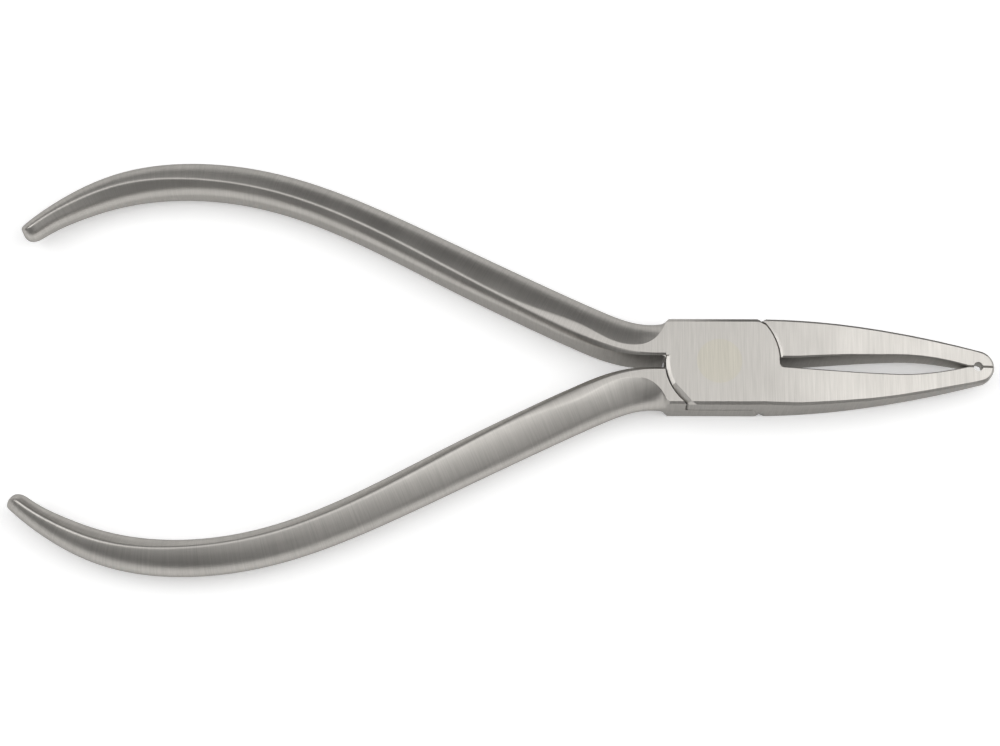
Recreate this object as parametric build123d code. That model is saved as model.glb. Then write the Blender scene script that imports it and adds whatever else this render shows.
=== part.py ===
from build123d import *
import os
from math import cos, radians, sin

# Orthodontic pliers, closed and lying flat: two lapped halves that turn on one flush rivet.
# +X runs from the pivot to the beak tips and +Z along the pivot axis. The origin is where that axis
# meets the rear face of the head, on which the pliers lie. Both halves have one shape: the rear one
# is the front one turned half a turn about the long axis at the middle of the thickness.
# Sizes are in millimetres and angles in degrees.

# Head
head_thickness = 7.5
head_half_height = 6.0
edge_break = 0.3            # chamfer along the outer edges of head and beaks
lap_gap = 0.04              # between the two lap plates

# Handle side of the lap: plate edge and shoulder are both round about the pivot
plate_excess = 1.3          # of the plate's radius over half the head's height
plate_break = 0.5           # chamfer along the plate edge
shoulder_gap = 0.25
crotch_gap = 1.7            # between the inner faces of the two handles, beside the head
crotch_fillet = 0.5         # inside corner between the plate edge and the handle
facet_angle = 220.8         # direction of the flat on the plate's corner, seen from the pivot
facet_depth = 0.7           # and how far it cuts into the face there

# Beak side of the lap: plate edge and shoulder are cones that widen towards the face
cone_excess = 1.6           # the same at the middle of the thickness, on this side
cone_flare = 0.75           # by how much it is wider at the face
cone_gap = 0.15
notch_fillet = 0.5          # inside corner between the plate edge and the beak
shoulder_break = 0.25       # chamfer along the face edge of the shoulder

# Beaks
hole_reach = 35.8           # pivot to the centre of the tip hole
hole_radius = 0.65
nose_radius = 2.25          # round the tip hole
flank_angle = 13.4          # between the beak's outer edge and the centre line, at the nose
tip_gap = 0.02              # between the closed tips
tip_thickness = 1.8
taper_start = 13.0          # from here the beaks thin towards the tip
flank_start = 4.0           # from here they narrow
bow_root = 0.6              # half of the gap between the beaks beside the head
bow_root_slope = 0.07
bow_back = 11.3             # it is widest this far behind the centre of the tip hole
bow_half_gap = 1.42
touch_back = 1.4            # and the tips touch from this far behind it
bow_end_slope = 0.25
inner_break = 0.15          # chamfer along the inner edges of the beaks

# Rivet
shank_radius = 2.2
head_radius = 3.1
head_depth = 0.9
running_gap = 0.03          # around the rivet in the rear half

# Handle
barrel_stop = 27.0          # angle by which the barrel stops short of a half ellipse, on each side
handle_width = 7.46         # a hair under the head, so that the pliers lie on the head
bevel_width = 1.0           # from the crest to the inner flat, across the handle
crown_reach = 72.5          # where the handle stands furthest from the centre line
crown_y = 29.4
handle_reach = 97.0         # pivot to the handle end
handle_end_y = 19.9

half_thick = head_thickness / 2
plate_radius = head_half_height + plate_excess
root_reach = 2 * plate_radius    # the head is first made this long behind the pivot, then cut at the plate
cone_radius = head_half_height + cone_excess
face_radius = cone_radius + cone_flare
bow_reach = hole_reach - bow_back
bow_end = hole_reach - touch_back
crotch_y = crotch_gap / 2
root_depth = head_half_height - crotch_y
root_crest = root_depth - edge_break
far = 200.0                 # larger than the pliers, for cutting blocks
touching = 0.001            # an edge this near to a line lies on it

# Handle sections: depth of the round barrel, of the crest and of the inner flat, all from the outer
# line, then the width and the width of the bevel between crest and flat.
# Beside the head: distance from the plate edge, rise above the head, section
root_stations = [
    (0.0, 0.0, 0.55, root_crest, root_depth, head_thickness, edge_break),
    (1.5, 0.0, 2.85, root_crest, root_depth, handle_width, edge_break),
    (3.0, 0.1, 3.8, root_crest, root_depth + 0.1, handle_width, edge_break),
]
# To the crown: share of the way along and of the rise, section
rise_stations = [
    (0.133, 0.083, 3.95, 4.95, 5.7, handle_width, 0.8),
    (0.256, 0.243, 4.5, 4.95, 5.8, handle_width, bevel_width),
    (0.41, 0.451, 4.4, 4.52, 5.7, handle_width, bevel_width),
    (0.594, 0.697, 3.8, 3.92, 5.3, handle_width, bevel_width),
    (0.808, 0.923, 3.55, 3.67, 5.0, handle_width, bevel_width),
    (1.0, 1.0, 3.3, 3.42, 4.85, handle_width, bevel_width),
]
# From the crown: share of the way along and of the drop, section
drop_stations = [
    (0.47, 0.17, 2.6, 2.72, 4.5, 6.9, bevel_width),
    (0.776, 0.555, 1.95, 2.07, 3.6, 5.8, 0.9),
]
# Rounded end: distance from the end along the outer line, turn of the section towards the head, section
end_stations = [
    (2.0, 6.0, 1.5, 1.62, 2.9, 5.1, 0.8),
    (0.7, 14.0, 1.25, 1.37, 2.5, 4.3, 0.7),
    (0.0, 18.0, 0.8, 0.9, 1.7, 2.8, 0.4),
]


def handle_points():
    """Points of the handle's outer line, from the head to the rounded end."""
    root = Vector(-plate_radius, head_half_height)
    crown = Vector(-crown_reach, crown_y)
    way = crown - root
    drop = Vector(-handle_reach, handle_end_y) - crown
    points = [root + Vector(-along, rise) for along, rise, *_ in root_stations]
    points += [root + Vector(way.X * along, way.Y * rise) for along, rise, *_ in rise_stations]
    points += [crown + Vector(drop.X * along, drop.Y * fall) for along, fall, *_ in drop_stations]
    return points


def handle_section(plane, barrel, crest, depth, width, bevel):
    """Elliptic barrel, a land from there to the crest, a bevel and the inner flat."""
    half = width / 2
    flat = half - bevel
    stop = radians(barrel_stop)
    radius = barrel / (1 - sin(stop))
    outline = EllipticalCenterArc(
        (radius, 0), radius, half / cos(stop), start_angle=90 + barrel_stop, arc_size=180 - 2 * barrel_stop
    )
    outline += Polyline(
        (barrel, -half), (crest, -half), (depth, -flat),
        (depth, flat), (crest, half), (barrel, half),
    )
    return plane * make_face(outline)


def make_handle():
    """Loft along the outer line, each section square to it."""
    points = handle_points()
    line = Spline(*points, (-handle_reach, handle_end_y))
    places = [line.param_at_point(point) for point in points]
    places += [1 - distance / line.length for distance, *_ in end_stations]
    turns = [0.0] * len(points) + [turn for _, turn, *_ in end_stations]
    sizes = [station[2:] for station in root_stations + rise_stations + drop_stations + end_stations]
    sections = []
    for place, turn, section_sizes in zip(places, turns, sizes):
        along = (line % place).rotate(Axis.Z, -turn)
        plane = Plane(line @ place, x_dir=along.rotate(Axis.Z, 90), z_dir=along)
        sections.append(handle_section(plane, *section_sizes))
    return loft(sections)


def make_beak_line():
    """Inner edge of the lower beak: bowed away from the centre line, touching it near the tip."""
    return Spline(
        (cone_radius - 2 * notch_fillet, -bow_root), (bow_reach, -bow_half_gap), (bow_end, -tip_gap / 2),
        tangents=[(1, -bow_root_slope), (1, 0), (1, bow_end_slope)],
    )


def inner_lines():
    """Inner edges of the lower beak in front view: the bow and the stretch where the tips touch."""
    bow = make_beak_line()
    return [bow, Line(bow @ 1, (hole_reach + nose_radius, -tip_gap / 2))]


def shoulder_line():
    """Face edge of the shoulder on the beak side, in front view."""
    return CenterArc((0, 0), face_radius + cone_gap, -90, 90)


def outline_lines():
    """Outer edges of the head and the lower beak in front view: top, nose, flank, bottom and plate edge."""
    tip_x = hole_reach + nose_radius
    nose_x = hole_reach + nose_radius * sin(radians(flank_angle))
    nose_y = -nose_radius * cos(radians(flank_angle))
    corner_x = -((plate_radius**2 - head_half_height**2) ** 0.5)
    crotch_x = -((plate_radius**2 - crotch_y**2) ** 0.5)
    top = Line((-root_reach, head_half_height), (face_radius, head_half_height))
    nose = RadiusArc((tip_x, 0), (nose_x, nose_y), nose_radius)
    along_nose = (cos(radians(flank_angle)), sin(radians(flank_angle)))
    flank = Spline((flank_start, -head_half_height), (nose_x, nose_y), tangents=[(1, 0), along_nose])
    bottom = Line((flank_start, -head_half_height), (corner_x, -head_half_height))
    plate_edge = RadiusArc((corner_x, -head_half_height), (crotch_x, crotch_y), plate_radius)
    return [top, nose, flank, bottom, plate_edge]


def make_plan():
    """Front view of the head and the lower beak, up to the centre line of the beaks."""
    top, nose, flank, bottom, plate_edge = outline_lines()
    left = Polyline(plate_edge @ 1, (-root_reach, crotch_y), top @ 0)
    middle = Polyline(top @ 1, (face_radius, 0), nose @ 0)
    return make_face([left, top, middle, nose, flank, bottom, plate_edge])


def about_pivot(radius, face_radius, height):
    """Cone or cylinder about the pivot, from the middle of the thickness towards the front face."""
    shape = Cone(radius, face_radius, height) if face_radius > radius else Cylinder(radius, height)
    return Pos(0, 0, height / 2) * shape


def round_corner(body, x, y, radius):
    """Round the upright corner nearest to a point of the front view."""
    upright = body.edges().filter_by(lambda edge: abs((edge % 0.5).Z) > 0.5)
    return fillet(upright.sort_by_distance((x, y, half_thick / 2))[0], radius)


def beak_room():
    """Room for the upper beak: all that lies above the lower beak's inner edge, outside the plate's cone."""
    line = make_beak_line()
    left = line @ 0
    right = line @ 1
    inside = cone_radius / 2
    around = Polyline(right, (far, right.Y), (far, far), (inside, far), (inside, left.Y), left)
    plan = make_face([line, around])
    front = extrude(plan, half_thick) - about_pivot(cone_radius, face_radius, half_thick)
    front = round_corner(front, cone_radius + cone_flare / 2, -bow_root, notch_fillet)
    return front + extrude(plan, -half_thick)


def lap_room():
    """Room for the other half's plate: a cylinder on the handle side, a cone on the beak side."""
    radius = cone_radius + cone_gap
    depth = half_thick + lap_gap / 2
    handle_side = about_pivot(plate_radius + shoulder_gap, plate_radius + shoulder_gap, depth)
    beak_side = about_pivot(radius, radius + cone_flare, depth)
    block = Box(far, 2 * far, 2 * far)
    room = (handle_side & Pos(-far / 2, 0, 0) * block) + (beak_side & Pos(far / 2, 0, 0) * block)
    return Pos(0, 0, lap_gap / 2) * Rot(180, 0, 0) * room


def thickness_wedge():
    """Side view of the head and beaks: even to the start of the taper, then thinning to the tip."""
    tip_x = hole_reach + nose_radius
    half_tip = tip_thickness / 2
    edge = Polyline(
        (-far, -half_thick), (taper_start, -half_thick), (tip_x, -half_tip),
        (tip_x, half_tip), (taper_start, half_thick), (-far, half_thick), close=True,
    )
    return extrude(Plane.XZ * make_face(edge), far, both=True)


def corner_facet():
    """Block that cuts the flat on the plate's corner beside the other handle."""
    across = Vector(cos(radians(facet_angle)), sin(radians(facet_angle)))
    middle = across * (plate_radius - facet_depth) + Vector(0, 0, half_thick)
    plane = Plane(middle, z_dir=across + Vector(0, 0, 1))
    return plane * Pos(0, 0, far / 2) * Box(far, far, far)


def edges_along(body, lines):
    """Edges of the front and rear faces that follow the given lines of the front view."""

    def follows(edge):
        middle = edge @ 0.5
        flat = Vector(middle.X, middle.Y)
        on_line = min(line.distance_to(flat) for line in lines) < touching
        return on_line and abs(middle.Z) > lap_gap and abs((edge % 0.5).Z) < 0.5

    return body.edges().filter_by(follows)


def crotch_web():
    """Rounds the inside corner between the plate edge and the handle's inner face."""
    inner_x = -plate_radius - crotch_fillet
    inside_y = crotch_y + crotch_fillet / 2
    arc = CenterArc((inner_x, crotch_y - crotch_fillet), crotch_fillet, 0, 90)
    rest = Polyline(arc @ 1, (inner_x, inside_y), (-plate_radius, inside_y), arc @ 0)
    web = extrude(make_face([arc, rest]), half_thick - edge_break - lap_gap / 2)
    return Pos(0, 0, lap_gap / 2) * web


def make_half():
    """Front half about the middle of the thickness: upper handle, front plate and lower beak."""
    body = extrude(make_plan(), half_thick, both=True)
    body -= beak_room()
    body &= thickness_wedge()
    body -= lap_room()
    *edges, plate_edge = outline_lines()
    body = chamfer(edges_along(body, [plate_edge]), plate_break)
    body = chamfer(edges_along(body, edges), edge_break)
    body -= Pos(-plate_radius - far / 2, 0, 0) * Box(far, far, far)
    body = chamfer(edges_along(body, inner_lines()), inner_break)
    body = chamfer(edges_along(body, [shoulder_line()]), shoulder_break)
    body -= corner_facet()
    body -= Pos(hole_reach, 0, 0) * Cylinder(hole_radius, head_thickness)
    body += make_handle() - lap_room()
    return body + crotch_web()


def make_rivet(gap=0.0):
    """Shank with a countersunk head flush with each face, or with a gap all round, the room for it."""
    edge = Polyline(
        (0, -half_thick), (head_radius + gap, -half_thick), (shank_radius + gap, head_depth - half_thick),
        (shank_radius + gap, half_thick - head_depth), (head_radius + gap, half_thick), (0, half_thick),
        close=True,
    )
    return revolve(Plane.XZ * make_face(edge), Axis.Z)


half = make_half()
pieces = {
    "front_half": half - make_rivet(),
    "rear_half": Rot(180, 0, 0) * half - make_rivet(running_gap),
    "pivot_rivet": make_rivet(),
}
os.makedirs("parts", exist_ok=True)
for name, piece in pieces.items():
    export_step(Pos(0, 0, half_thick) * piece, f"parts/{name}.step")
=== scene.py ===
from math import comb, cos, pi, radians, sin, tan

import bmesh
import bpy
import numpy as np
from bpy.props import FloatProperty, FloatVectorProperty, IntProperty, PointerProperty
from mathutils import Matrix, Vector


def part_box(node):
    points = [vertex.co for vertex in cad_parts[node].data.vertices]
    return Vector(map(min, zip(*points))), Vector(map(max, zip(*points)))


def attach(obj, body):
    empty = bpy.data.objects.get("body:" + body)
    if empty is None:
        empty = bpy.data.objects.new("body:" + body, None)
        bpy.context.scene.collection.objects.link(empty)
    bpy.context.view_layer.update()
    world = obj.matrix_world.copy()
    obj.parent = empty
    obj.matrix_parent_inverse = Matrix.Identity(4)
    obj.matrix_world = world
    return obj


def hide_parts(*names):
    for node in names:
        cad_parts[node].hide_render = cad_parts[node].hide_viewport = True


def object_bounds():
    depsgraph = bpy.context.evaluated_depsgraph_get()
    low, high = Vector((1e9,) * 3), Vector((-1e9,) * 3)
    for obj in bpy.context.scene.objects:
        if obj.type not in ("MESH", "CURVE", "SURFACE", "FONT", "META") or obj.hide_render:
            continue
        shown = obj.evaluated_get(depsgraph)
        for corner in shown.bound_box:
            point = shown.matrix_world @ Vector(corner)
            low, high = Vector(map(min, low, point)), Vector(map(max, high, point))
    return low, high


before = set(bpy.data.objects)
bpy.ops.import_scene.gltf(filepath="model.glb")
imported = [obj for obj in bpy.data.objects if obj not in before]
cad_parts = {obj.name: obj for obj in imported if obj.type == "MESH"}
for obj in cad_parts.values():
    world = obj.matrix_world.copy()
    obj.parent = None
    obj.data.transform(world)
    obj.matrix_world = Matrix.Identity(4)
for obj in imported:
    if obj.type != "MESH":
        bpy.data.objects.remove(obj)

bl_info = {
    "name": "Orthodontic pliers",
    "version": (1, 0, 0),
    "blender": (4, 5, 0),
    "location": "View3D > Sidebar > Pliers",
    "description": "Dresses two lapped pliers halves and their rivet in ground steel and sets the stage",
    "category": "Object",
}

# Lengths in the tables are in millimetres, all else is in metres.
MM = 0.001
CAD_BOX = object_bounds()
MID_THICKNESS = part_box("pivot_rivet")[1].z / 2
HALF_THICKNESS = MID_THICKNESS / MM

# Outer line of the upper handle, x and y from the pivot, and the section there: depth of the barrel,
# of the crest and of the inner flat, all from that line, then width and width of the bevel.
STATIONS = np.array([
    (-7.3, 6.0, 0.55, 4.85, 5.15, 7.5, 0.3),
    (-8.8, 6.0, 2.85, 4.85, 5.15, 7.46, 0.3),
    (-10.3, 6.1, 3.8, 4.85, 5.25, 7.46, 0.3),
    (-15.972, 7.942, 3.95, 4.95, 5.7, 7.46, 0.8),
    (-23.991, 11.686, 4.5, 4.95, 5.8, 7.46, 1.0),
    (-34.032, 16.553, 4.4, 4.52, 5.7, 7.46, 1.1),
    (-46.029, 22.31, 3.8, 3.92, 5.3, 7.46, 1.25),
    (-59.982, 27.598, 3.55, 3.67, 5.0, 7.46, 1.4),
    (-72.5, 29.4, 3.3, 3.42, 4.85, 7.46, 1.6),
    (-84.015, 27.785, 2.6, 2.72, 4.5, 6.9, 1.7),
    (-91.512, 24.128, 1.95, 2.07, 3.6, 5.8, 1.4),
])
HANDLE_END = np.array([(-97.0, 19.9)])
# Rounded end: distance from the end, turn of the section towards the head in degrees, section
END_STATIONS = np.array([
    (2.0, 6.0, 1.5, 1.62, 2.9, 5.1, 1.15),
    (0.7, 14.0, 1.25, 1.37, 2.5, 4.3, 1.0),
    (0.0, 18.0, 0.8, 0.9, 1.7, 2.8, 0.6),
])
# Beaks: where they start to thin, where they end, half of the thickness there, and half of the stretch over
# which the start is eased
TAPER_START, BEAK_END, HALF_TIP, TAPER_EASE = 13.0, 38.05, 0.9, 7.0

# Head, as the solids have it: where it ends towards the handles, half of its height, the width of its broken
# edges, where the walls of the lap plates end towards the beaks, and a radius just outside the plates
BACK_END, HALF_HEIGHT, EDGE_BREAK, WALL_END, PLATE_RADIUS = -7.3, 6.0, 0.3, 4.95, 7.32
FACET_NORMAL = np.array([cos(radians(220.8)), sin(radians(220.8)), 1]) / 2 ** 0.5

# Dressing of the head's edges: the back corners lean forward, the long edges are broken a little wider, the seam
# between the lap plates is opened along the walls, and a shallow notch is filed across each end of the gap at
# the beaks, down to a height above mid-thickness and fading over a stretch above that
BACK_LEAN, EDGE_EXTRA, SEAM_EXTRA = 0.45, 0.13, 0.08
NOTCH_PLACE, NOTCH_REACH, NOTCH_DEPTH, NOTCH_BOTTOM, NOTCH_FADE = 5.92, 0.6, 0.32, 1.5, 2.0
# Beaks: one edge of each broad side stands out, and its break reaches further down the wall. The places along x
# are where that starts, is full, is still full and ends.
EDGE_OUT, OUT_PLACES = 0.26, (6.0, 11.0, 22.0, 31.0)
BREAK_DOWN, DOWN_PLACES = 0.4, (-6.0, -3.0, 10.0, 20.0)
# Rows of points for the easing, without one at the crease, where the solid has its own
EASE_ROWS = 15
TAPER_ROWS = TAPER_START + TAPER_EASE * np.delete(np.linspace(-1, 1, EASE_ROWS), EASE_ROWS // 2)
# Normals of the broken edges lean less than the chamfers do: on the facet, to the left and to the top
FACET_LEAN, LEFT_LEAN, UP_LEAN = 0.6, 0.4, 0.45
SAME_WAY, LEFT_FACING, UP_FACING, LEAST_SIDEWAYS = 0.999, 0.3, 0.5, 0.1

# Kinds of faces on the head, by how far their normals point up or down: walls less than the first, broken edges
# between the second and the third, broad sides more than the third. Then how far the normals of breaks, walls
# and square faces point sideways, and the height from mid-thickness where the beaks' outer edges start.
WALL_LEVEL, BREAK_LEVEL, BROAD_LEVEL = 0.3, 0.5, 0.9
BREAK_FACING, WALL_FACING, SQUARE_FACING = 0.4, 0.7, 0.95
EDGE_HEIGHT = 0.8

NEAR = 0.02                 # points this close are at the same place
MERGE = 0.002               # corners this close in the solid's mesh are one point
SHARP_ANGLE = radians(35)   # edges of the handle above this stay sharp

LINE_STEPS = 6001           # points that measure the outer line's length
FIRST_POINT = 0.4           # first point of a section, as a share of the flat from its middle to its rounding
SEAM_SPAN = 0.6             # share of the length around that only a face across the seam spans
BARREL_STOP = radians(27)   # by which the barrel stops short of a half ellipse on each side
FLAT_SHARE, INNER_SHARE, CREST_SHARE = 0.6, 0.8, 0.25   # most of the bevel, flat and bevel that rounding takes
FLAT_POINTS, CREST_POINTS = 9, 10                       # points on the roundings
END_ROWS = 9                # rings that round the end
JOIN_STATION = 2            # here the swept handle takes over from the head
JOIN_STRIP = 0.06           # length of the strip of faces that joins them
JOIN_ROUND = 0.03           # share of the roundings there
BLEND_LENGTH = 8.0          # over which the handle's edges lose the head's crispness

# Grinding lines: the broad set and the mottle in widths and lengths of the fine one, the part of the noise's range
# that counts, the shares of the two sets in the colour, and how far mottle and broad lines change the roughness
BROAD_WIDTH, BROAD_LENGTH, MOTTLE_WIDTH = 3.0, 1.6, 40.0
NOISE_LOW, NOISE_HIGH = 0.3, 0.7
LINE_DETAIL, LINE_ROUGH, MOTTLE_DETAIL, PLAIN_ROUGH = 2.0, 0.6, 1.0, 0.5     # of the noises
FINE_SHARE, BROAD_SHARE = 0.75, 0.25
MOTTLE_ROUGH, BROAD_ROUGH = 0.03, 0.015
LINE_STRENGTH, LINE_DEPTH = 0.12, 0.03
RIM_TINT = 0.45             # of the reflection at grazing angles

FLOOR_REACH = 4.0           # metres from the pivot to the floor's edge
SIGHT_POINT = (-29.995, -0.777)     # where the line of sight meets the pliers, to the right and up in the picture

# Softboxes in one plane over the floor, each between two angles from the vertical along x and two along y,
# in degrees as seen from the pivot, with its brightness as a share of the softbox level
SOFTBOXES = {
    "overhead": (-8, 13, 2, 33, 1.1),
    "overhead_near": (-8, 13, -20, 2, 1.6),
    "overhead_right": (13, 66, -20, 30, 2.1),
    "overhead_left": (-28, -8, -20, 33, 0.7),
    "left_strip": (-58, -28, -20, 33, 2.4),
    "front_right": (24, 66, -45, -20, 0.75),
    "front": (-4, 24, -45, -20, 0.5),
    "front_left": (-66, -4, -45, -20, 0.32),
    "front_low_right": (24, 66, -72, -45, 0.5),
    "front_low": (-66, 24, -70, -45, 0.12),
    "back_left": (-70, -5, 36, 72, 0.4),
}


class PliersHandleSizes(bpy.types.PropertyGroup):
    """How finely the swept handles are divided, and how their edges are rounded"""

    rings: IntProperty(name="Rings", description="Sections along each handle", default=360, min=40)
    barrel_points: IntProperty(
        name="Barrel points", description="Points across the barrel", default=49, min=9)
    crest_round: FloatProperty(
        name="Crest rounding", description="Reach of the rounding along the crest", default=0.3 * MM,
        unit="LENGTH")
    flat_round: FloatProperty(
        name="Flat rounding", description="Reach of the rounding along the inner flat", default=1.2 * MM,
        unit="LENGTH")
    end_round: FloatProperty(
        name="End rounding", description="Radius around the handle's end", default=0.45 * MM, unit="LENGTH")


class PliersFinish(bpy.types.PropertyGroup):
    """Colours and roughness of the ground steel"""

    steel: FloatVectorProperty(
        name="Steel", description="Colour of the ground steel", default=(0.494, 0.475, 0.447),
        subtype="COLOR", size=3)
    steel_dark: FloatVectorProperty(
        name="Grinding lines", description="Colour at the bottom of the grinding lines",
        default=(0.402, 0.387, 0.364), subtype="COLOR", size=3)
    rivet: FloatVectorProperty(
        name="Rivet", description="Colour of the rivet", default=(0.497, 0.474, 0.414),
        subtype="COLOR", size=3)
    rivet_dark: FloatVectorProperty(
        name="Rivet lines", description="Colour at the bottom of the rivet's grinding lines",
        default=(0.406, 0.387, 0.338), subtype="COLOR", size=3)
    roughness: FloatProperty(
        name="Roughness", description="Roughness of the ground steel", default=0.36, min=0, max=1,
        subtype="FACTOR")
    line_width: FloatProperty(
        name="Line width", description="Width of the grinding lines", default=0.16 * MM, unit="LENGTH")
    line_length: FloatProperty(
        name="Line length", description="Length of the grinding lines", default=6 * MM, unit="LENGTH")


class PliersStage(bpy.types.PropertyGroup):
    """Camera, floor and lamps"""

    floor: FloatVectorProperty(
        name="Floor", description="Colour of the floor", default=(0.93, 0.93, 0.93), subtype="COLOR", size=3)
    floor_glow: FloatProperty(
        name="Floor glow", description="Share of white that the floor shows by itself", default=0.24)
    surround: FloatVectorProperty(
        name="Surround", description="Light from the dim surroundings", default=(0.16, 0.16, 0.16),
        subtype="COLOR", size=3)
    softbox_level: FloatProperty(
        name="Softbox level", description="Brightness of the softboxes, where 1 is white", default=0.96)
    softbox_height: FloatProperty(
        name="Softbox height", description="Height above the floor", default=0.5, unit="LENGTH")
    tilt: FloatProperty(
        name="Camera tilt", description="Between the line of sight and the vertical", default=radians(15),
        subtype="ANGLE")
    roll: FloatProperty(
        name="Camera roll", description="About the line of sight", default=radians(0.15), subtype="ANGLE")
    distance: FloatProperty(
        name="Camera distance", description="To the pliers", default=0.3586, unit="LENGTH")
    lens: FloatProperty(name="Focal length", description="On a 36 mm sensor", default=93.6, unit="CAMERA")


def fetched(rows, name, size=1, kind=np.float32):
    """One property of all the points, corners or faces of a mesh, as an array with the given row size."""
    values = np.zeros(len(rows) * size, kind)
    rows.foreach_get(name, values)
    return values.reshape(-1, size) if size > 1 else values


def end_slope(knots, values):
    """Slope at the first knot of the cubic through the first four points."""
    powers = np.vander(knots[:4] - knots[0], 4, increasing=True)
    return np.linalg.solve(powers, values[:4])[1]


def cubic(knots, values, at):
    """Cubic spline through the values: slopes m solve the equations that keep its second derivative
    continuous, with the end slopes given, and between two knots it is the Hermite cubic."""
    step = np.diff(knots)
    rate = np.diff(values, axis=0) / step[:, None]
    count = len(knots)
    matrix = np.eye(count)
    right = np.zeros_like(values)
    inner = np.arange(1, count - 1)
    matrix[inner, inner - 1] = 1 / step[:-1]
    matrix[inner, inner] = 2 / step[:-1] + 2 / step[1:]
    matrix[inner, inner + 1] = 1 / step[1:]
    right[inner] = 3 * (rate[:-1] / step[:-1, None] + rate[1:] / step[1:, None])
    right[0] = end_slope(knots, values)
    right[-1] = -end_slope(-knots[::-1], values[::-1])
    slope = np.linalg.solve(matrix, right)
    left = np.clip(np.searchsorted(knots, at) - 1, 0, count - 2)
    width = step[left][:, None]
    t = (at - knots[left])[:, None] / width
    return (
        values[left] * (1 + 2 * t) * (1 - t) ** 2 + slope[left] * width * t * (1 - t) ** 2
        + values[left + 1] * t * t * (3 - 2 * t) + slope[left + 1] * width * t * t * (t - 1)
    )


def handle_line(places=None):
    """Outer line as a spline over its chord lengths. Gives the length at each station and the whole length,
    or, for given lengths along it, the points and unit directions there."""
    points = np.vstack([STATIONS[:, :2], HANDLE_END])
    chords = np.concatenate([[0], np.cumsum(np.linalg.norm(np.diff(points, axis=0), axis=1))])
    fine = np.linspace(0, chords[-1], LINE_STEPS)
    line = cubic(chords, points, fine)
    lengths = np.concatenate([[0], np.cumsum(np.linalg.norm(np.diff(line, axis=0), axis=1))])
    if places is None:
        return np.interp(chords[:-1], fine, lengths), lengths[-1]
    at = np.interp(places, lengths, fine)
    nudge = 0.01
    ahead = cubic(chords, points, at + nudge) - cubic(chords, points, at - nudge)
    return cubic(chords, points, at), ahead / np.linalg.norm(ahead, axis=1)[:, None]


def toward(start, end):
    """Unit vectors from start to end."""
    way = end - start
    return way / np.linalg.norm(way, axis=-1, keepdims=True)


def eased(corners, count):
    """Curve that leaves along the first side of a control polygon and arrives along its last: the Bezier
    curve of as many control points as there are corners, each an array over the rings."""
    t = np.linspace(0, 1, count)[None, :, None]
    degree = len(corners) - 1
    return sum(
        comb(degree, index) * t ** index * (1 - t) ** (degree - index) * corner[:, None]
        for index, corner in enumerate(corners))


def handle_profile(section, blend, sizes):
    """Closed section of the handle, as depth below the outer line and height above mid-thickness, from the
    middle of the inner flat round over the bevel, the crest and the elliptic barrel to the other side. The
    corners of the flat and the crest are eased, by the share that blend gives for each ring."""
    barrel, crest, depth, width, bevel = section.T
    half = width / 2
    middle = np.stack([depth, np.zeros_like(half)], axis=1)
    flat_corner = np.stack([depth, half - bevel], axis=1)
    crest_corner = np.stack([crest, half], axis=1)
    barrel_edge = np.stack([barrel, half], axis=1)
    bevel_length = np.linalg.norm(crest_corner - flat_corner, axis=1)
    flat_room = np.minimum(FLAT_SHARE * bevel_length, INNER_SHARE * (half - bevel))
    flat_reach = (blend * np.minimum(sizes.flat_round / MM, flat_room))[:, None]
    crest_reach = (blend * np.minimum(sizes.crest_round / MM, CREST_SHARE * bevel_length))[:, None]
    radius = (barrel / (1 - sin(BARREL_STOP)))[:, None]
    rise = (half / cos(BARREL_STOP))[:, None]
    stop = pi / 2 + BARREL_STOP
    first = stop + crest_reach / np.hypot(radius * sin(stop), rise * cos(stop))
    angle = first + (pi - first) * np.linspace(0, 1, sizes.barrel_points)[None, :]
    arc = np.stack([radius * (1 + np.cos(angle)), rise * np.sin(angle)], axis=2)
    flat_start = flat_corner + toward(flat_corner, middle) * flat_reach
    flat_stop = flat_corner + toward(flat_corner, crest_corner) * flat_reach
    crest_start = crest_corner + toward(crest_corner, flat_corner) * crest_reach
    upper = np.concatenate([
        ((1 - FIRST_POINT) * middle + FIRST_POINT * flat_start)[:, None],
        eased([flat_start, flat_corner, flat_stop], FLAT_POINTS),
        ((flat_stop + crest_start) / 2)[:, None],
        eased([crest_start, crest_corner, barrel_edge, arc[:, 0]], CREST_POINTS)[:, :-1],
        arc,
    ], axis=1)
    lower = upper[:, -2::-1] * np.array([1, -1])
    return np.concatenate([middle[:, None], upper, lower], axis=1)


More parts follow.
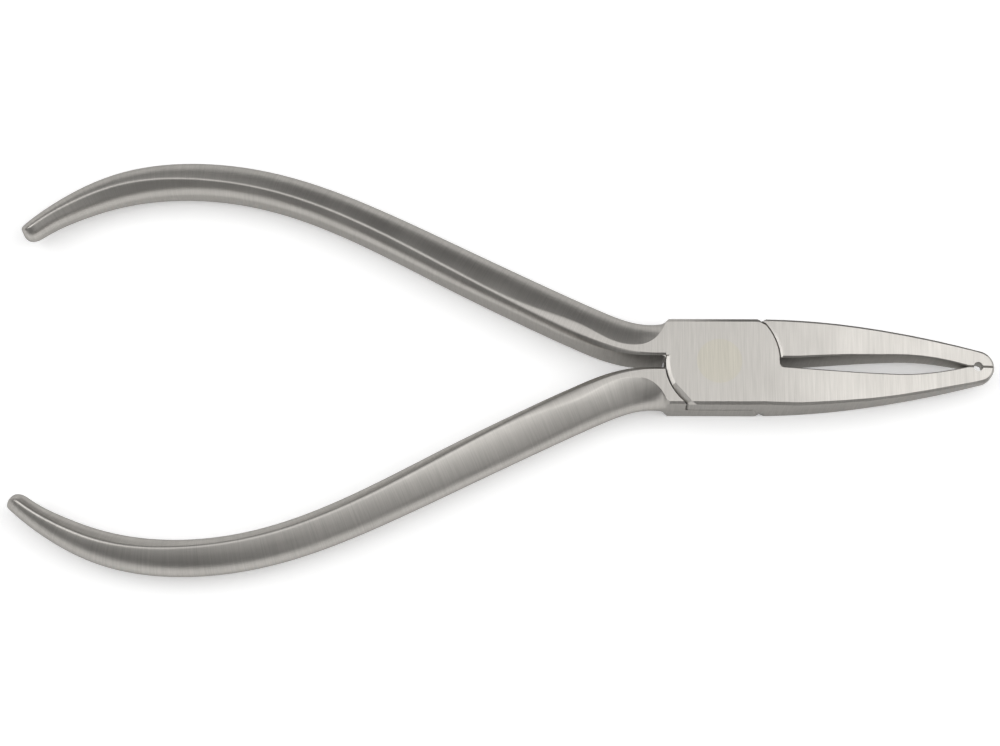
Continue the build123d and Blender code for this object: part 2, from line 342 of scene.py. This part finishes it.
def handle_rings(sizes):
    """Sections carried along the outer line, square to it except near the end, where they turn towards the
    head. Over the last stretch they shrink about their middles along a quarter circle, which rounds the end.
    Gives the points of each ring and the grain coordinates: length along, and length around from the line."""
    station_places, length = handle_line()
    places = np.concatenate([station_places, length - END_STATIONS[:, 0]])
    turns = np.concatenate([np.zeros(len(STATIONS)), END_STATIONS[:, 1]])
    sections = np.vstack([STATIONS[:, 2:], END_STATIONS[:, 2:]])
    start = station_places[JOIN_STATION]
    rounding = sizes.end_round / MM
    quarter = np.linspace(0, pi / 2, END_ROWS)
    at = np.concatenate([
        np.linspace(start, length - rounding, sizes.rings, endpoint=False),
        length - rounding * (1 - np.sin(quarter)),
    ])
    points, along = handle_line(at)
    turn = np.radians(cubic(places, turns[:, None], at)[:, 0])
    turn = np.where(at < station_places[-1], 0, turn)
    along = np.stack([
        along[:, 0] * np.cos(turn) + along[:, 1] * np.sin(turn),
        along[:, 1] * np.cos(turn) - along[:, 0] * np.sin(turn),
    ], axis=1)
    inward = np.stack([-along[:, 1], along[:, 0]], axis=1)
    blend = JOIN_ROUND + (1 - JOIN_ROUND) * np.clip((at - start) / BLEND_LENGTH, 0, 1) ** 2
    profile = handle_profile(cubic(places, sections, at), blend, sizes)
    around = np.concatenate([
        np.zeros((len(at), 1)), np.cumsum(np.linalg.norm(np.diff(profile, axis=1), axis=2), axis=1)], axis=1)
    around -= around[:, [around.shape[1] // 2]]
    inset = np.zeros(len(at))
    inset[-len(quarter):] = rounding * (1 - np.cos(quarter))
    core = profile.mean(axis=1, keepdims=True)
    reach = np.abs(profile - core).max(axis=(1, 2))
    profile = core + (profile - core) * (1 - inset / reach)[:, None, None]
    flat = points[:, None] + profile[..., :1] * inward[:, None]
    rings = np.concatenate([flat, profile[..., 1:]], axis=2) * MM
    rings[..., 2] += MID_THICKNESS
    rings[..., 1] = np.minimum(rings[..., 1], CAD_BOX[1].y)
    lengthwise = np.broadcast_to(points[0, 0] - (at - start)[:, None], around.shape)
    return rings, np.stack([lengthwise, around], axis=2) * MM


def handle_faces(ring_count, point_count):
    """Quads between neighbouring rings, then triangles from the last ring to the point in its middle."""
    ring, point = np.meshgrid(np.arange(ring_count - 1), np.arange(point_count), indexing="ij")
    following = (point + 1) % point_count
    quads = np.stack([
        ring * point_count + point, (ring + 1) * point_count + point,
        (ring + 1) * point_count + following, ring * point_count + following], axis=2)
    last = (ring_count - 1) * point_count + np.arange(point_count)
    tip = np.full(point_count, ring_count * point_count)
    fan = np.stack([last, tip, np.roll(last, -1)], axis=1)
    return quads.reshape(-1, 4).tolist() + fan.tolist()


def turned(points):
    """Half a turn about the long axis at mid-thickness, which takes one half to the other."""
    return points * np.array([1, -1, -1]) + np.array([0, 0, 2 * MID_THICKNESS])


def make_half(name, node, is_rear, sizes):
    """One forging as a single closed skin. The head and beak are the solid's own flat and round faces, cut
    off square to the handle; the handle is swept from there, and a strip of faces joins the two."""
    rings, handle_grain = handle_rings(sizes)
    ring_count, point_count = rings.shape[:2]
    tip = rings[-1].mean(axis=0)
    points = np.vstack([rings.reshape(-1, 3), tip])
    tip_grain = np.array([[handle_grain[-1, 0, 0], 0]])
    handle_grain = np.vstack([handle_grain.reshape(-1, 2), tip_grain])
    station_places, _ = handle_line()
    joint, along = handle_line(station_places[[JOIN_STATION]] - JOIN_STRIP)
    cut_point = np.append(joint[0] * MM, MID_THICKNESS)
    cut_normal = np.append(along[0], 0)
    if is_rear:
        points = turned(points)
        cut_point = turned(cut_point)
        cut_normal = cut_normal * np.array([1, -1, -1])
    handle = bpy.data.meshes.new("handle")
    handle.from_pydata(points.tolist(), [], handle_faces(ring_count, point_count))

    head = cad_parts[node].data.copy()
    normals = fetched(head.corner_normals, "vector", 3)
    head.attributes.new("solid_normal", "FLOAT_VECTOR", "CORNER").data.foreach_set("vector", normals.ravel())
    skin = bmesh.new()
    skin.from_mesh(head)
    bmesh.ops.remove_doubles(skin, verts=skin.verts[:], dist=MERGE * MM)
    bmesh.ops.bisect_plane(
        skin, geom=skin.verts[:] + skin.edges[:] + skin.faces[:], plane_co=cut_point.tolist(),
        plane_no=cut_normal.tolist(), clear_outer=True)
    for row in (NOTCH_PLACE - NOTCH_REACH, NOTCH_PLACE + NOTCH_REACH, *TAPER_ROWS):
        bmesh.ops.bisect_plane(
            skin, geom=skin.verts[:] + skin.edges[:] + skin.faces[:], plane_co=(row * MM, 0, 0),
            plane_no=(1, 0, 0))
    skin.to_mesh(head)
    skin.free()
    ease_head(head)

    skin = bmesh.new()
    skin.from_mesh(head)
    head_count = len(skin.verts)
    skin.from_mesh(handle)
    bmesh.ops.bridge_loops(skin, edges=[edge for edge in skin.edges if edge.is_boundary])
    bmesh.ops.recalc_face_normals(skin, faces=skin.faces[:])
    mesh = bpy.data.meshes.new(name)
    skin.to_mesh(mesh)
    skin.free()
    bpy.data.meshes.remove(handle)
    bpy.data.meshes.remove(head)
    grain_map(mesh, head_count, handle_grain)
    shade(mesh)
    half = bpy.data.objects.new(name, mesh)
    bpy.context.scene.collection.objects.link(half)
    return half


def thickness(x):
    """Half of the beaks' thickness, level up to the crease and falling evenly past it, and the slope past it; then
    half of the thickness and its slope with the crease eased to a parabola."""
    fall = (HALF_THICKNESS - HALF_TIP) / (BEAK_END - TAPER_START)
    past = x - TAPER_START
    ramped = np.clip(past + TAPER_EASE, 0, 2 * TAPER_EASE)
    eased_drop = fall * (ramped ** 2 / (4 * TAPER_EASE) + np.maximum(past - TAPER_EASE, 0))
    creased_half = HALF_THICKNESS - fall * np.maximum(past, 0)
    return creased_half, -fall, HALF_THICKNESS - eased_drop, -fall * ramped / (2 * TAPER_EASE)


def dressing(places):
    """How far the points along the head's edges move. Back corners go forward; the upper side of a broken edge
    goes inward; the seam's sides part; a notch is deepest in its middle and fades out in straight lines to
    both sides and towards mid-thickness."""
    x, y = places[:, 0], np.abs(places[:, 1])
    rise = places[:, 2] - HALF_THICKNESS
    height = np.abs(rise)
    gap_side = np.sign(places[:, 1]) * rise
    inner_edge = HALF_HEIGHT - EDGE_BREAK
    corner = (
        (np.abs(x - BACK_END) < NEAR) & (y > inner_edge - NEAR)
        & (height > HALF_THICKNESS - EDGE_BREAK - NEAR))
    edge = (
        (np.abs(y - inner_edge) < NEAR) & (height > HALF_THICKNESS - NEAR / 2)
        & (gap_side > 0) & (x < NOTCH_PLACE))
    seam = (height < 1.5 * NEAR) & (y > inner_edge) & (x > BACK_END) & (x < WALL_END)
    slope = np.clip(1 - np.abs(x - NOTCH_PLACE) / NOTCH_REACH, 0, 1)
    fade = np.clip((gap_side - NOTCH_BOTTOM) / NOTCH_FADE, 0, 1)
    notch = np.where(y > inner_edge - 1.5 * EDGE_BREAK, NOTCH_DEPTH * slope * fade, 0)
    inward = np.maximum(notch, EDGE_EXTRA * edge)
    return np.stack([
        BACK_LEAN * corner, -np.sign(places[:, 1]) * inward, SEAM_EXTRA * seam * np.sign(rise)], axis=1)


def standing_out(places, corners, normals, level):
    """How far the edges of the beaks' broad sides move: those above mid-thickness towards the lower handle, those
    below it towards the upper one. Points on a broad side's edge go out, and where that edge is broken, the
    break's lower points go out with it and down the wall."""
    x, rise = places[:, 0], places[:, 2] - HALF_THICKNESS
    facing = -normals[:, 1] * np.sign(rise)[corners]

    def touched(faces):
        return np.bincount(corners[faces], minlength=len(places)) > 0

    broad = touched(level > BROAD_LEVEL)
    breaks = touched((facing > BREAK_FACING) & (level > BREAK_LEVEL) & (level < BROAD_LEVEL))
    wall = touched((facing > WALL_FACING) & (level < WALL_LEVEL))
    away = np.abs(rise) > EDGE_HEIGHT
    low = breaks & wall & away
    edge = low | (broad & (breaks | wall) & away)
    out = np.interp(x, OUT_PLACES, (0, EDGE_OUT, EDGE_OUT, 0)) * edge
    down = np.interp(x, DOWN_PLACES, (0, BREAK_DOWN, BREAK_DOWN, 0)) * low
    return np.stack([0 * x, -np.sign(rise) * out, -np.sign(rise) * down], axis=1)


def lean_less(normals, level, broken):
    """Normals of the broken edges, brought nearer to the broad sides': a share of their sideways part is kept."""
    facet = broken & (normals @ FACET_NORMAL > SAME_WAY)
    upward = broken & (normals[:, 1] * np.sign(normals[:, 2]) > UP_FACING)
    leftward = broken & (normals[:, 0] < -LEFT_FACING) & ~upward
    steepness = level / np.maximum(np.hypot(normals[:, 0], normals[:, 1]), LEAST_SIDEWAYS)
    lean = np.select([facet, leftward, upward], [FACET_LEAN, LEFT_LEAN * steepness, UP_LEAN], 1.0)
    normals[:, :2] *= lean[:, None]
    return normals / np.linalg.norm(normals, axis=1, keepdims=True)


def ease_head(head):
    """Eases the crease where the beaks start to thin: heights from mid-thickness are scaled by the eased over
    the creased thickness, and the normals are carried along. The edges are then dressed, and the faces which
    that turns at the back corners and the notches get their own flat normals."""
    places = fetched(head.vertices, "co", 3) / MM
    corners = fetched(head.loops, "vertex_index", kind=int)
    starts = fetched(head.polygons, "loop_start", kind=int)
    totals = fetched(head.polygons, "loop_total", kind=int)
    normals = fetched(head.attributes["solid_normal"].data, "vector", 3)
    normals /= np.linalg.norm(normals, axis=1, keepdims=True)

    x = places[corners, 0]
    level = np.abs(normals[:, 2])
    on_plate = np.hypot(x, places[corners, 1]) < PLATE_RADIUS
    broken = (level > BREAK_LEVEL) & (level < BROAD_LEVEL) & ((x > 0) | on_plate)
    moves = dressing(places) + standing_out(places, corners, normals, level)
    normals = lean_less(normals, level, broken)

    height = places[corners, 2] - HALF_THICKNESS
    beyond = np.repeat(np.add.reduceat(x, starts) / totals > TAPER_START, totals)
    creased_half, creased_slope, eased_half, eased_slope = thickness(x)
    tilt = height * (eased_slope / eased_half - np.where(beyond, creased_slope, 0) / creased_half)
    near = np.abs(x - TAPER_START) < TAPER_EASE + NEAR / 2
    normals[:, 0] -= np.where(near, normals[:, 2] * tilt, 0)
    normals[:, 2] *= np.where(near, creased_half / eased_half, 1)
    normals /= np.linalg.norm(normals, axis=1, keepdims=True)
    back = (normals[:, 0] < -SQUARE_FACING) & (np.abs(x - BACK_END) < NEAR)
    in_notch = (np.abs(x - NOTCH_PLACE) < NOTCH_REACH) & (moves[corners, 1] != 0)
    turned_faces = back | ((np.abs(normals[:, 1]) > SQUARE_FACING) & in_notch)

    creased_half, _, eased_half, _ = thickness(places[:, 0])
    places[:, 2] = HALF_THICKNESS + (places[:, 2] - HALF_THICKNESS) * eased_half / creased_half
    places += moves
    head.vertices.foreach_set("co", (places * MM).astype(np.float32).ravel())
    head.update()
    flat = np.repeat(fetched(head.polygon_normals, "vector", 3), totals, axis=0)
    normals[turned_faces] = flat[turned_faces]
    head.attributes["solid_normal"].data.foreach_set("vector", normals.ravel())


def shade(mesh):
    """Smooth shading: the head keeps the solid's own normals, the handle gets those of its grid."""
    if "custom_normal" in mesh.attributes:
        mesh.attributes.remove(mesh.attributes["custom_normal"])
    mesh.polygons.foreach_set("use_smooth", np.ones(len(mesh.polygons), bool))
    mesh.set_sharp_from_angle(angle=SHARP_ANGLE)
    normals = fetched(mesh.corner_normals, "vector", 3)
    solid = fetched(mesh.attributes["solid_normal"].data, "vector", 3)
    known = np.linalg.norm(solid, axis=1) > 0.5
    normals[known] = toward(np.zeros_like(solid[known]), solid[known])
    mesh.attributes.remove(mesh.attributes["solid_normal"])
    mesh.normals_split_custom_set(normals)


def grain_map(mesh, head_count, handle_grain):
    """UV map of the grinding lines, in metres. On the head, the first coordinate is x and the second y plus z,
    so lines run across it; on the handle, they are the lengths along and around. A face that spans the seam
    along the inner flat takes the far side's length around on both its sides."""
    places = fetched(mesh.vertices, "co", 3, float)
    grain = np.stack([places[:, 0], places[:, 1] + places[:, 2]], axis=1)
    grain[head_count:] = handle_grain
    corners = fetched(mesh.loops, "vertex_index", kind=int)
    starts = fetched(mesh.polygons, "loop_start", kind=int)
    totals = fetched(mesh.polygons, "loop_total", kind=int)
    loops = grain[corners]
    largest = np.repeat(np.maximum.reduceat(loops[:, 1], starts), totals)
    seam = handle_grain[:, 1].max() - handle_grain[:, 1].min()
    on_seam = (loops[:, 1] < largest - SEAM_SPAN * seam) & (corners >= head_count)
    loops[on_seam, 1] = -loops[on_seam, 1]
    layer = mesh.uv_layers.new(name="grain")
    layer.data.foreach_set("uv", loops.astype(np.float32).ravel())


def link(tree, *pairs):
    """Join node sockets two by two."""
    for start, end in pairs:
        tree.links.new(start, end)


def math_node(tree, operation, *values):
    """Math node with the given sockets or numbers as inputs."""
    node = tree.nodes.new("ShaderNodeMath")
    node.operation = operation
    for socket, value in zip(node.inputs, values):
        if isinstance(value, (int, float)):
            socket.default_value = value
        else:
            tree.links.new(value, socket)
    return node.outputs[0]


def noise_node(tree, vector, detail, roughness):
    """Noise texture over a vector, one cell to the unit, as a value from 0 to 1."""
    node = tree.nodes.new("ShaderNodeTexNoise")
    node.inputs["Scale"].default_value = 1.0
    node.inputs["Detail"].default_value = detail
    node.inputs["Roughness"].default_value = roughness
    tree.links.new(vector, node.inputs["Vector"])
    return node.outputs["Fac"]


def scaled(tree, vector, across, along):
    """The first two coordinates of a vector, each divided by a length."""
    parts = tree.nodes.new("ShaderNodeSeparateXYZ")
    joined = tree.nodes.new("ShaderNodeCombineXYZ")
    tree.links.new(vector, parts.inputs[0])
    tree.links.new(math_node(tree, "DIVIDE", parts.outputs["X"], across), joined.inputs["X"])
    tree.links.new(math_node(tree, "DIVIDE", parts.outputs["Y"], along), joined.inputs["Y"])
    return joined.outputs[0]


def make_grinding_group():
    """Grinding lines: noise stretched along the second coordinate, in a fine and a broader set, and a slow
    mottle that follows the belt's passes."""
    tree = bpy.data.node_groups.new("grinding_lines", "ShaderNodeTree")
    tree.interface.new_socket("Grain", in_out="INPUT", socket_type="NodeSocketVector")
    tree.interface.new_socket("Line Width", in_out="INPUT", socket_type="NodeSocketFloat")
    tree.interface.new_socket("Line Length", in_out="INPUT", socket_type="NodeSocketFloat")
    for name in ("Lines", "Streaks", "Mottle"):
        tree.interface.new_socket(name, in_out="OUTPUT", socket_type="NodeSocketFloat")
    given = tree.nodes.new("NodeGroupInput")
    result = tree.nodes.new("NodeGroupOutput")
    width, length = given.outputs["Line Width"], given.outputs["Line Length"]
    grain = given.outputs["Grain"]
    fine = noise_node(tree, scaled(tree, grain, width, length), LINE_DETAIL, LINE_ROUGH)
    broad_width = math_node(tree, "MULTIPLY", width, BROAD_WIDTH)
    broad_length = math_node(tree, "MULTIPLY", length, BROAD_LENGTH)
    broad = noise_node(tree, scaled(tree, grain, broad_width, broad_length), LINE_DETAIL, PLAIN_ROUGH)
    slow_width = math_node(tree, "MULTIPLY", width, MOTTLE_WIDTH)
    slow = noise_node(tree, scaled(tree, grain, slow_width, slow_width), MOTTLE_DETAIL, PLAIN_ROUGH)
    link(
        tree, (fine, result.inputs["Lines"]), (broad, result.inputs["Streaks"]),
        (slow, result.inputs["Mottle"]))
    return tree


def ramp(tree, value, low, high):
    """Noise mapped from the part of its range that counts to another range, held at the ends."""
    node = tree.nodes.new("ShaderNodeMapRange")
    for name, number in zip(("From Min", "From Max", "To Min", "To Max"), (NOISE_LOW, NOISE_HIGH, low, high)):
        node.inputs[name].default_value = number
    tree.links.new(value, node.inputs["Value"])
    return node.outputs["Result"]


def make_steel(name, light, dark, finish, grain_socket):
    """Ground steel: the lines darken the colour and are cut in as a bump, and the mottle and the broad lines vary
    the roughness a little."""
    material = bpy.data.materials.new(name)
    material.use_nodes = True
    tree = material.node_tree
    shader = tree.nodes["Principled BSDF"]
    shader.inputs["Metallic"].default_value = 1.0
    shader.inputs["Specular Tint"].default_value = (RIM_TINT, RIM_TINT, RIM_TINT, 1)
    group = tree.nodes.new("ShaderNodeGroup")
    group.node_tree = bpy.data.node_groups.get("grinding_lines") or make_grinding_group()
    group.inputs["Line Width"].default_value = finish.line_width
    group.inputs["Line Length"].default_value = finish.line_length
    tree.links.new(grain_socket(tree), group.inputs["Grain"])
    lines, streaks, mottle = (group.outputs[key] for key in ("Lines", "Streaks", "Mottle"))
    share = math_node(
        tree, "ADD", ramp(tree, lines, 0, FINE_SHARE), ramp(tree, streaks, 0, BROAD_SHARE))
    colour = tree.nodes.new("ShaderNodeMix")
    colour.data_type = "RGBA"
    colour.inputs["A"].default_value = (*dark, 1)
    colour.inputs["B"].default_value = (*light, 1)
    rough = math_node(
        tree, "ADD", ramp(tree, mottle, finish.roughness - MOTTLE_ROUGH, finish.roughness + MOTTLE_ROUGH),
        ramp(tree, streaks, BROAD_ROUGH, -BROAD_ROUGH))
    bump = tree.nodes.new("ShaderNodeBump")
    bump.inputs["Strength"].default_value = LINE_STRENGTH
    bump.inputs["Distance"].default_value = LINE_DEPTH * MM
    link(
        tree, (share, colour.inputs["Factor"]), (colour.outputs["Result"], shader.inputs["Base Color"]),
        (rough, shader.inputs["Roughness"]), (lines, bump.inputs["Height"]),
        (bump.outputs["Normal"], shader.inputs["Normal"]))
    return material


def grain_uv(tree):
    """Grain coordinates from the piece's own UV map."""
    node = tree.nodes.new("ShaderNodeUVMap")
    node.uv_map = "grain"
    return node.outputs["UV"]


def grain_flat(tree):
    """Grain coordinates of a flat head face: x, and y plus z."""
    place = tree.nodes.new("ShaderNodeTexCoord")
    parts = tree.nodes.new("ShaderNodeSeparateXYZ")
    joined = tree.nodes.new("ShaderNodeCombineXYZ")
    link(tree, (place.outputs["Object"], parts.inputs[0]), (parts.outputs["X"], joined.inputs["X"]))
    tree.links.new(math_node(tree, "ADD", parts.outputs["Y"], parts.outputs["Z"]), joined.inputs["Y"])
    return joined.outputs[0]


class PLIERS_OT_halves(bpy.types.Operator):
    """Make the skins of the two halves and give them the ground steel"""

    bl_idname = "pliers.halves"
    bl_label = "Make the halves"

    def execute(self, context):
        finish = context.scene.pliers_finish
        steel = make_steel("ground_steel", finish.steel, finish.steel_dark, finish, grain_uv)
        for body in ("front", "rear"):
            node = body + "_half"
            half = make_half(body + "_forging", node, body == "rear", context.scene.pliers_handle)
            half.data.materials.append(steel)
            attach(half, body)
            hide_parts(node)
        return {"FINISHED"}


class PLIERS_OT_rivet(bpy.types.Operator):
    """Give the rivet its slightly warmer steel, ground flush with the head"""

    bl_idname = "pliers.rivet"
    bl_label = "Finish the rivet"

    def execute(self, context):
        finish = context.scene.pliers_finish
        steel = make_steel("rivet_steel_ground", finish.rivet, finish.rivet_dark, finish, grain_flat)
        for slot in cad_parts["pivot_rivet"].material_slots:
            slot.material = steel
        return {"FINISHED"}


class PLIERS_OT_stage(bpy.types.Operator):
    """Set the floor, the softboxes, the dim surroundings and the camera"""

    bl_idname = "pliers.stage"
    bl_label = "Set the stage"

    def execute(self, context):
        stage = context.scene.pliers_stage
        context.scene.view_settings.view_transform = "Standard"
        make_floor(stage)
        make_lights(stage)
        make_camera(stage)
        return {"FINISHED"}


def make_floor(stage):
    """A square of pale matte floor under the pliers, which glows a little where it is seen or mirrored."""
    mesh = bpy.data.meshes.new("floor")
    corners = np.array([(-1, -1, 0), (1, -1, 0), (1, 1, 0), (-1, 1, 0)]) * FLOOR_REACH
    mesh.from_pydata(corners.tolist(), [], [(0, 1, 2, 3)])
    material = bpy.data.materials.new("pale_floor")
    material.use_nodes = True
    tree = material.node_tree
    shader = tree.nodes["Principled BSDF"]
    shader.inputs["Base Color"].default_value = (*stage.floor, 1)
    shader.inputs["Roughness"].default_value = 1.0
    shader.inputs["Specular IOR Level"].default_value = 0.0
    shader.inputs["Emission Color"].default_value = (1, 1, 1, 1)
    path = tree.nodes.new("ShaderNodeLightPath")
    seen = math_node(tree, "MAXIMUM", path.outputs["Is Camera Ray"], path.outputs["Is Glossy Ray"])
    seen = math_node(tree, "MAXIMUM", seen, path.outputs["Is Transmission Ray"])
    tree.links.new(math_node(tree, "MULTIPLY", seen, stage.floor_glow), shader.inputs["Emission Strength"])
    mesh.materials.append(material)
    floor = bpy.data.objects.new("floor", mesh)
    bpy.context.scene.collection.objects.link(floor)


def make_lights(stage):
    """Softboxes overhead, from their table, in dim surroundings. A side's place is the height times the tangent of
    its angle."""
    world = bpy.data.worlds.new("surround")
    world.use_nodes = True
    world.node_tree.nodes["Background"].inputs["Color"].default_value = (*stage.surround, 1)
    bpy.context.scene.world = world
    height = stage.softbox_height
    for name, (left, right, near, far, share) in SOFTBOXES.items():
        left, right, near, far = (height * tan(radians(angle)) for angle in (left, right, near, far))
        lamp = area_lamp(name, right - left, far - near, share * stage.softbox_level)
        lamp.location = ((left + right) / 2, (near + far) / 2, height)


def area_lamp(name, width, depth, level):
    """Rectangular lamp whose face has the given brightness: its power is that times its area times pi."""
    data = bpy.data.lights.new(name, "AREA")
    data.shape = "RECTANGLE"
    data.size = width
    data.size_y = depth
    data.energy = pi * width * depth * level
    lamp = bpy.data.objects.new(name, data)
    bpy.context.scene.collection.objects.link(lamp)
    return lamp


def make_camera(stage):
    """Camera that looks down on the pliers from the lower handle's side."""
    tilt = stage.tilt
    right = Vector((1, 0, 0))
    up = Vector((0, cos(tilt), sin(tilt)))
    back = Vector((0, -sin(tilt), cos(tilt)))
    target = Vector((0, 0, MID_THICKNESS)) + right * SIGHT_POINT[0] * MM + up * SIGHT_POINT[1] * MM
    camera = bpy.data.objects.new("camera", bpy.data.cameras.new("camera"))
    camera.data.lens = stage.lens
    camera.data.sensor_width = 36
    camera.data.clip_start = 0.01
    turn = Matrix((right, up, back)).transposed() @ Matrix.Rotation(stage.roll, 3, "Z")
    camera.matrix_world = Matrix.Translation(target + back * stage.distance) @ turn.to_4x4()
    bpy.context.scene.collection.objects.link(camera)
    bpy.context.scene.camera = camera


class PLIERS_PT_panel(bpy.types.Panel):
    """Pliers in the sidebar of the 3D view"""

    bl_idname = "PLIERS_PT_panel"
    bl_label = "Orthodontic pliers"
    bl_space_type = "VIEW_3D"
    bl_region_type = "UI"
    bl_category = "Pliers"

    def draw(self, context):
        for group in GROUPS:
            settings = getattr(context.scene, group)
            for name in settings.__annotations__:
                self.layout.prop(settings, name)
        for operator in OPERATORS:
            self.layout.operator(operator.bl_idname)


GROUPS = {"pliers_handle": PliersHandleSizes, "pliers_finish": PliersFinish, "pliers_stage": PliersStage}
OPERATORS = (PLIERS_OT_halves, PLIERS_OT_rivet, PLIERS_OT_stage)


def register():
    for cls in (*GROUPS.values(), *OPERATORS, PLIERS_PT_panel):
        bpy.utils.register_class(cls)
    for name, cls in GROUPS.items():
        setattr(bpy.types.Scene, name, PointerProperty(type=cls))


def unregister():
    for name in GROUPS:
        delattr(bpy.types.Scene, name)
    for cls in (PLIERS_PT_panel, *OPERATORS, *GROUPS.values()):
        bpy.utils.unregister_class(cls)


def main():
    """Build the pieces and the stage."""
    register()
    bpy.ops.pliers.halves()
    bpy.ops.pliers.rivet()
    bpy.ops.pliers.stage()


if __name__ == "__main__":
    main()
